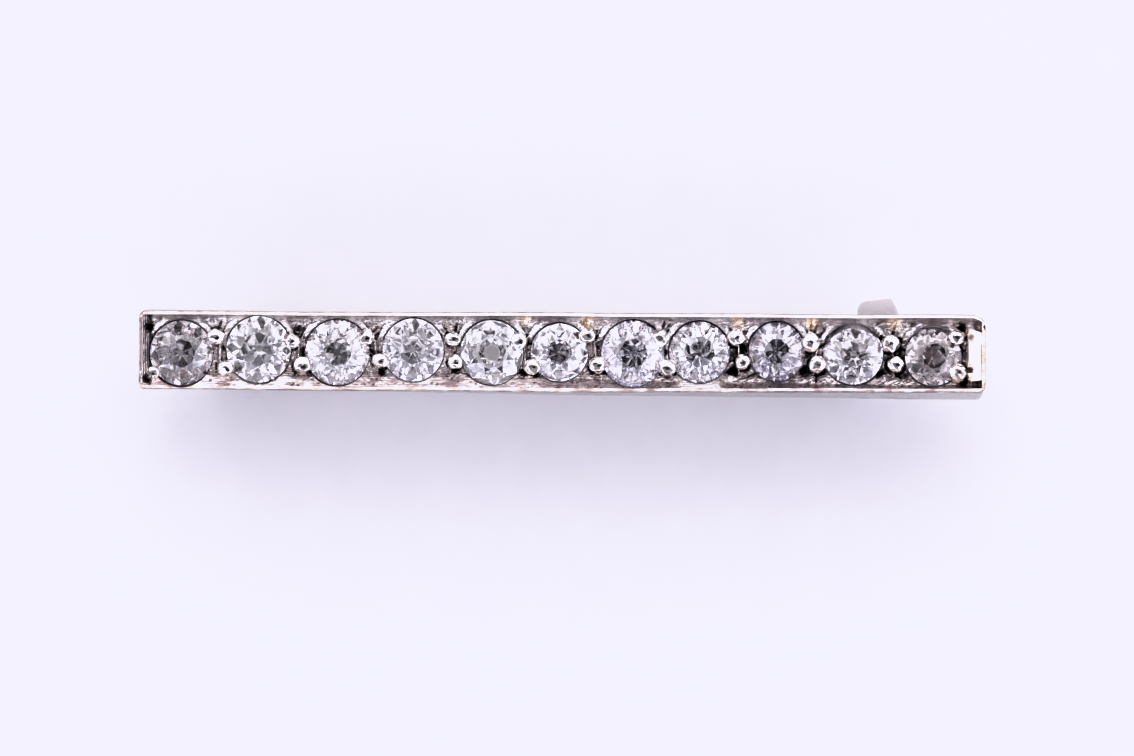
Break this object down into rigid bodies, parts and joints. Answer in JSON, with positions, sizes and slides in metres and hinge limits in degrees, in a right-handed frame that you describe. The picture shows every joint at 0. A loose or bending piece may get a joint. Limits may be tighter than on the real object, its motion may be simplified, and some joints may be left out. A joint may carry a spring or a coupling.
{
  "type": "bar brooch",
  "caption": "Long narrow bar brooch of white metal with a raised rim, grain set with a row of round old-cut clear stones, with a hinged pin and a hook catch on its back.",
  "frame": {"origin": "on the plane the brooch lies on, under the middle of its bounding box", "axes": "+X along the bar, from the pin's hinge to the catch; +Y across the bar, to the edge that the catch's lip reaches past; +Z out of the brooch's face"},
  "size_m": [0.036, 0.0044, 0.0055],
  "materials": {
    "white_gold": "polished and worn white gold, greyed with dark tarnish in its recesses",
    "clear_stone": "facetted, clear and colourless, very highly refracting",
    "pin_metal": "drawn white gold with fine lengthwise scratches"
  },
  "bodies": {
    "root": {"setting": "white_gold", "stone_01": "clear_stone", "stone_02": "clear_stone", "stone_03": "clear_stone", "stone_04": "clear_stone", "stone_05": "clear_stone", "stone_06": "clear_stone", "stone_07": "clear_stone", "stone_08": "clear_stone", "stone_09": "clear_stone", "stone_10": "clear_stone", "stone_11": "clear_stone", "pin": "pin_metal"}
  },
  "joints": []
}
